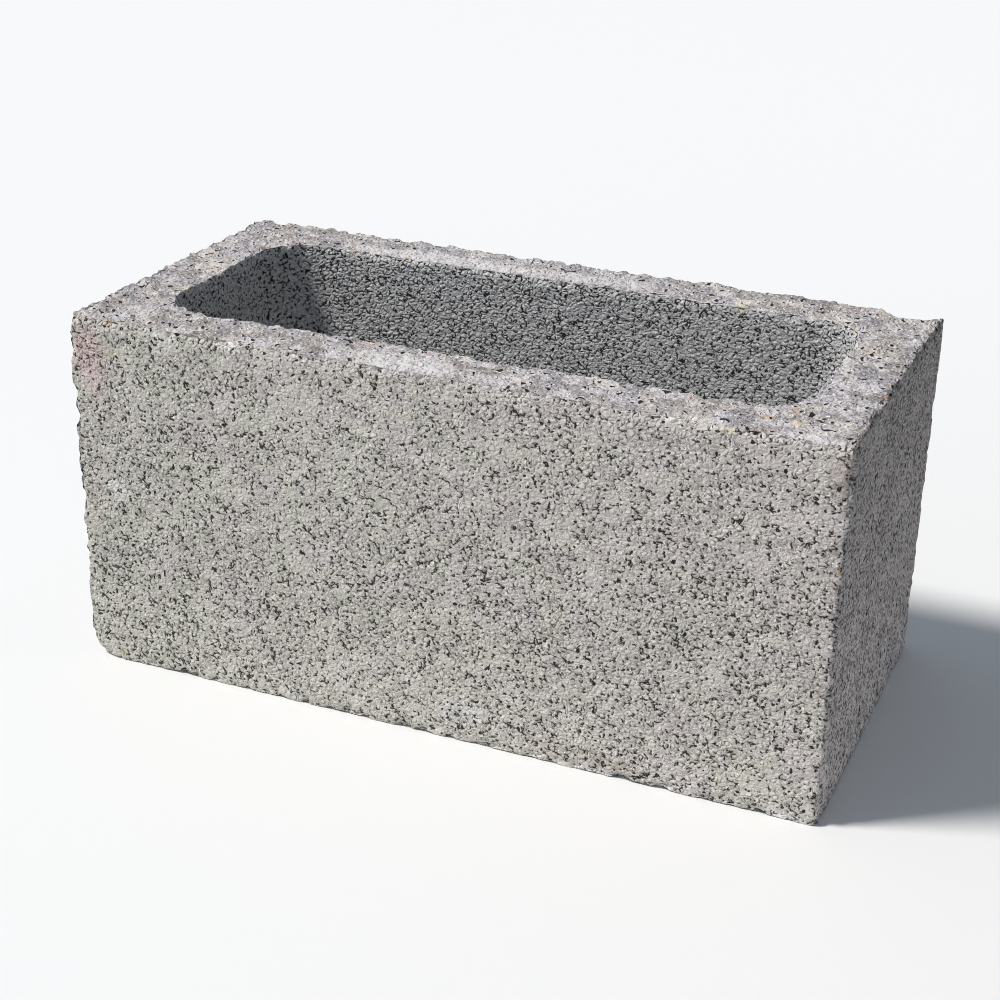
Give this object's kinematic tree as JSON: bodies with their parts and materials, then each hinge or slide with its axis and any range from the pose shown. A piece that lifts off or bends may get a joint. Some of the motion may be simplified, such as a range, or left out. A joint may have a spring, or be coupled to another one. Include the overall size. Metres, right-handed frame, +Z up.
{
  "type": "concrete block",
  "caption": "Hollow concrete block: a rectangular dry-cast unit with a round-cornered core through it, laid in mortar to build walls, pillars and shafts.",
  "frame": {"origin": "centre of the bed face, on the floor under the middle of the core", "axes": "+X along the block's length, +Y across its width, +Z up along the core"},
  "size_m": [0.39, 0.19, 0.188],
  "materials": {
    "concrete": "open-textured dry-cast concrete, rough and matt"
  },
  "bodies": {
    "root": {"concrete_block": "concrete"}
  },
  "joints": []
}
